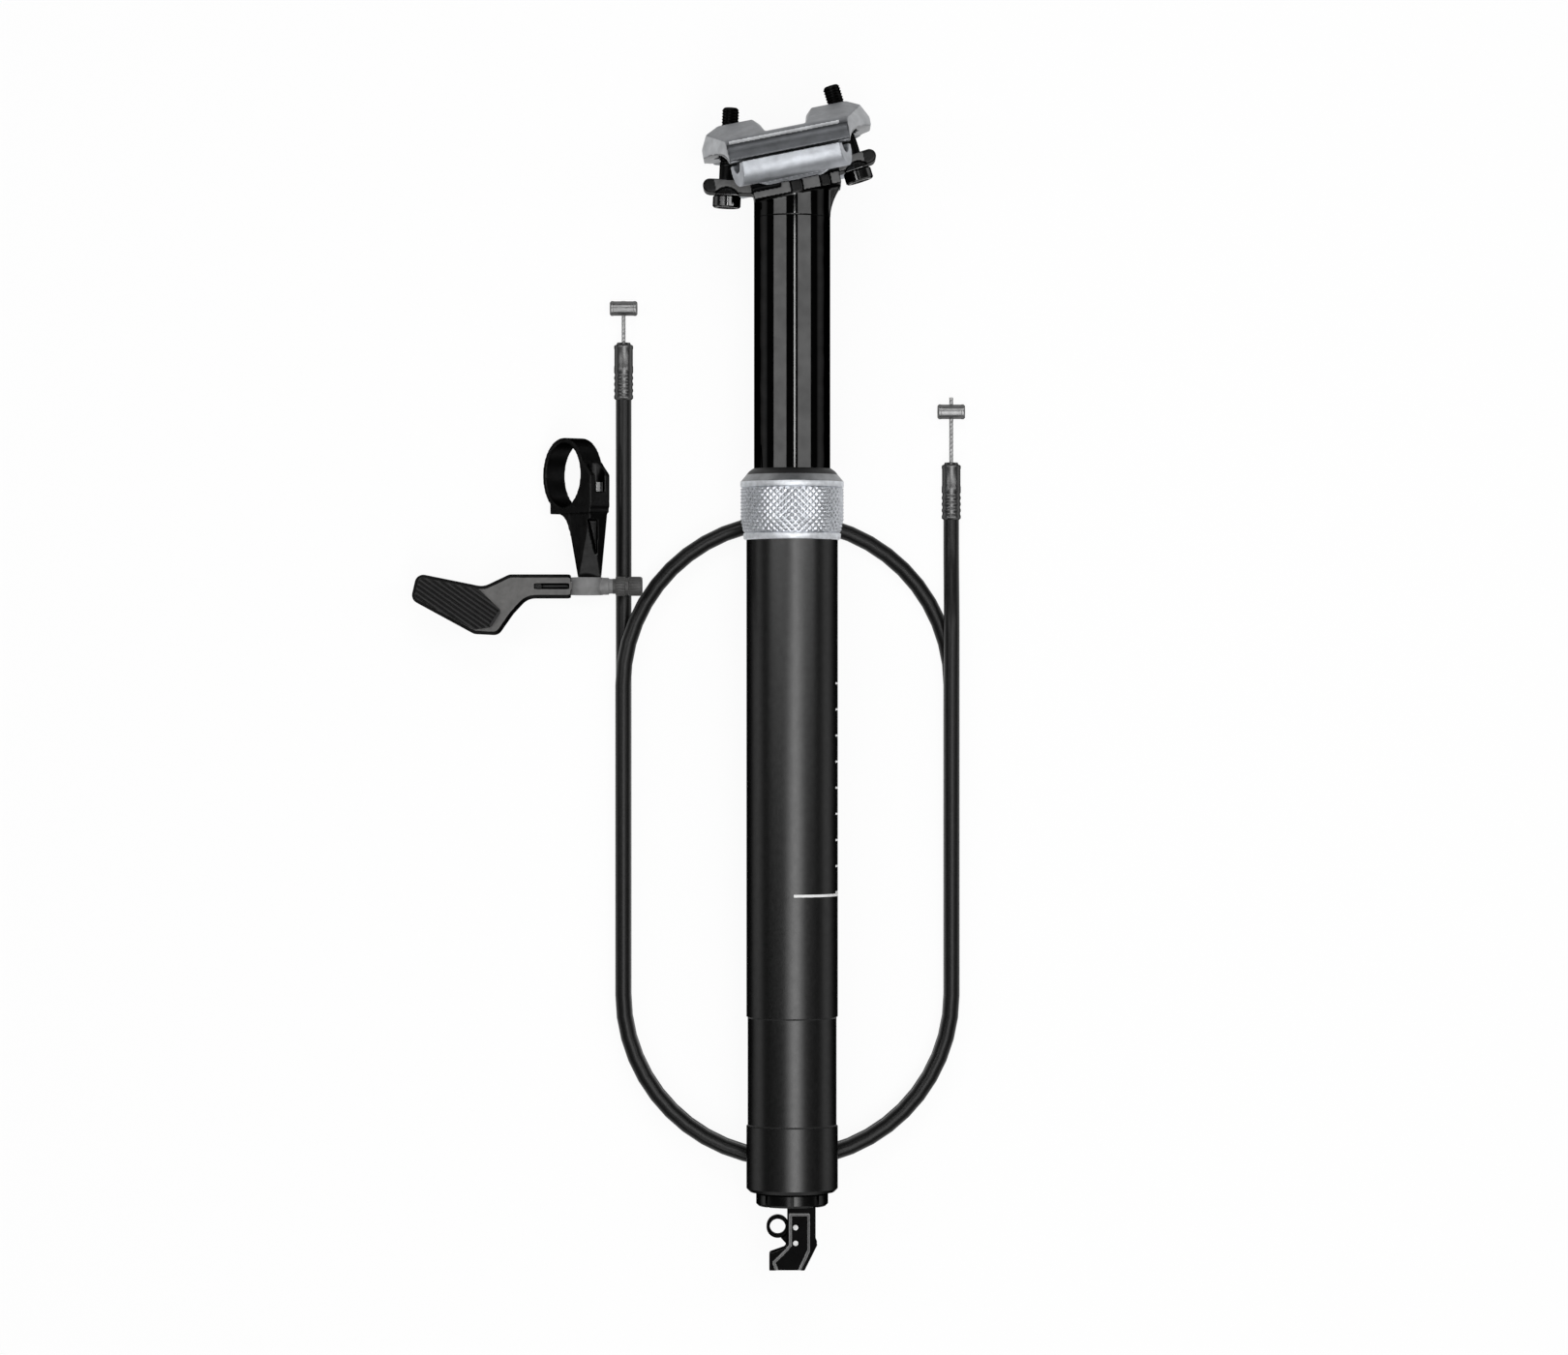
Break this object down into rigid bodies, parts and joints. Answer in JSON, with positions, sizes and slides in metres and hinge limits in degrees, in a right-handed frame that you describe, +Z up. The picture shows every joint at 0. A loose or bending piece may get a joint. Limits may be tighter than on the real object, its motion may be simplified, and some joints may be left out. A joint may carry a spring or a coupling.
{
  "type": "dropper seatpost",
  "caption": "Telescopic bicycle seatpost with a two-bolt saddle clamp and a cam actuator at its foot, laid out with its thumb remote and coiled control cable.",
  "frame": {"origin": "on the post's axis, at the lower face of the collar, where the post sits on the bicycle's seat tube", "axes": "+Y along the post towards the saddle, +Z up from the table that the kit lies on, +X to the right"},
  "size_m": [0.1929, 0.4095, 0.0563],
  "materials": {
    "tube_black": "satin black anodising",
    "stanchion_black": "gloss black hard anodising",
    "collar_silver": "bright knurled aluminium",
    "rubber_black": "matt rubber",
    "bearing_green": "plain bearing liner",
    "foot_black": "satin black",
    "inner_steel": "ground steel",
    "key_brass": "machined brass",
    "head_black": "satin black, forged",
    "clamp_silver": "satin silver, forged",
    "clamp_grey": "satin grey, forged",
    "bolt_black": "black oxide",
    "remote_black": "satin black",
    "lever_grey": "satin grey anodising",
    "grip_black": "ribbed grip",
    "housing_black": "extruded cable housing",
    "ferrule_black": "satin black",
    "wire_steel": "stranded steel"
  },
  "bodies": {
    "outer": {"outer_tube": "tube_black", "collar": "collar_silver", "wiper_seal": "rubber_black", "upper_bush": "bearing_green", "end_cap": "foot_black", "cartridge_body": "inner_steel", "circlip": "inner_steel", "actuator_bracket": "foot_black", "actuator_pins": "inner_steel"},
    "inner_post": {"stanchion": "stanchion_black", "post_head": "head_black", "guide_keys": "key_brass", "lower_bush": "bearing_green", "cartridge_rod": "inner_steel", "rod_piston": "inner_steel", "top_out_bumper": "rubber_black", "rod_nut": "inner_steel"},
    "saddle_clamp": {"lower_cradle": "clamp_silver", "upper_clamp": "clamp_grey"},
    "front_bolt": {"front_bolt": "bolt_black", "front_washer": "bolt_black"},
    "rear_bolt": {"rear_bolt": "bolt_black", "rear_washer": "bolt_black"},
    "front_nut": {"front_nut": "inner_steel"},
    "rear_nut": {"rear_nut": "inner_steel"},
    "actuator_arm": {"actuator_arm": "foot_black", "nipple_ring": "bolt_black"},
    "valve_pin": {"valve_pin": "inner_steel"},
    "remote": {"bar_clamp": "remote_black", "clamp_bolt": "bolt_black", "remote_body": "lever_grey", "pivot_bolt": "inner_steel"},
    "thumb_lever": {"thumb_lever": "lever_grey", "thumb_pad": "grip_black", "cable_screw": "inner_steel"},
    "barrel_adjuster": {"barrel_adjuster": "remote_black"},
    "cable": {"cable_housing": "housing_black", "left_ferrule": "ferrule_black", "right_ferrule": "ferrule_black"},
    "left_wire": {"left_wire": "wire_steel", "left_nipple": "wire_steel"},
    "right_wire": {"right_wire": "wire_steel", "right_nipple": "wire_steel"}
  },
  "joints": [
    {"name": "dropper_travel", "type": "slide", "parent": "outer", "child": "inner_post", "axis": [0, -1, 0], "range_m": [0, 0.08]},
    {"name": "saddle_tilt", "type": "hinge", "parent": "inner_post", "child": "saddle_clamp", "pos_m": [-0.00322, 0.1445, 0], "axis": [0, 0, 1], "range_deg": [-8, 8]},
    {"name": "front_bolt_swing", "type": "hinge", "parent": "inner_post", "child": "front_bolt", "pos_m": [-0.02259, 0.11671, 0], "axis": [0, 0, 1], "range_deg": [-3.2, 3.2]},
    {"name": "rear_bolt_swing", "type": "hinge", "parent": "inner_post", "child": "rear_bolt", "pos_m": [0.02292, 0.12572, 0], "axis": [0, 0, 1], "range_deg": [-2.3, 2.3]},
    {"name": "front_nut_turn", "type": "hinge", "parent": "saddle_clamp", "child": "front_nut", "pos_m": [-0.02167, 0.13779, 0], "axis": [0, 0, 1], "range_deg": [-11.2, 11.2]},
    {"name": "rear_nut_turn", "type": "hinge", "parent": "saddle_clamp", "child": "rear_nut", "pos_m": [0.01683, 0.14541, 0], "axis": [0, 0, 1], "range_deg": [-10.4, 10.4]},
    {"name": "actuator_swing", "type": "hinge", "parent": "outer", "child": "actuator_arm", "pos_m": [0.0012, -0.2424, 0], "axis": [0, 0, 1], "range_deg": [0, 18], "stiffness_Nm_per_rad": 0.04, "springref_deg": -11.46},
    {"name": "valve_lift", "type": "slide", "parent": "outer", "child": "valve_pin", "axis": [0, 1, 0], "range_m": [0, 0.00125]},
    {"name": "remote_aside", "type": "slide", "parent": "outer", "child": "remote", "axis": [-1, 0, 0], "range_m": [0, 0.06]},
    {"name": "lever_press", "type": "hinge", "parent": "remote", "child": "thumb_lever", "pos_m": [-0.0715, -0.01575, -0.013], "axis": [0, -1, 0], "range_deg": [0, 12], "stiffness_Nm_per_rad": 0.3, "springref_deg": -11.46},
    {"name": "barrel_turn", "type": "hinge", "parent": "remote", "child": "barrel_adjuster", "pos_m": [-0.056, -0.01575, -0.013], "axis": [1, 0, 0], "continuous": true},
    {"name": "cable_aside", "type": "slide", "parent": "outer", "child": "cable", "axis": [1, 0, 0], "range_m": [0, 0.095]},
    {"name": "wire_pull", "type": "slide", "parent": "cable", "child": "left_wire", "axis": [0, 1, 0], "range_m": [-0.0055, 0.012]},
    {"name": "wire_follow", "type": "slide", "parent": "cable", "child": "right_wire", "axis": [0, 1, 0], "range_m": [-0.012, 0.0055]}
  ],
  "couplings": [
    {"joint": "front_bolt_swing", "follows": "saddle_tilt", "ratio": -0.3655},
    {"joint": "rear_bolt_swing", "follows": "saddle_tilt", "ratio": -0.2568},
    {"joint": "front_nut_turn", "follows": "saddle_tilt", "ratio": -1.3655},
    {"joint": "rear_nut_turn", "follows": "saddle_tilt", "ratio": -1.2568},
    {"joint": "valve_lift", "follows": "actuator_swing", "m_per_rad": 0.0038197},
    {"joint": "wire_follow", "follows": "wire_pull", "ratio": -1}
  ]
}
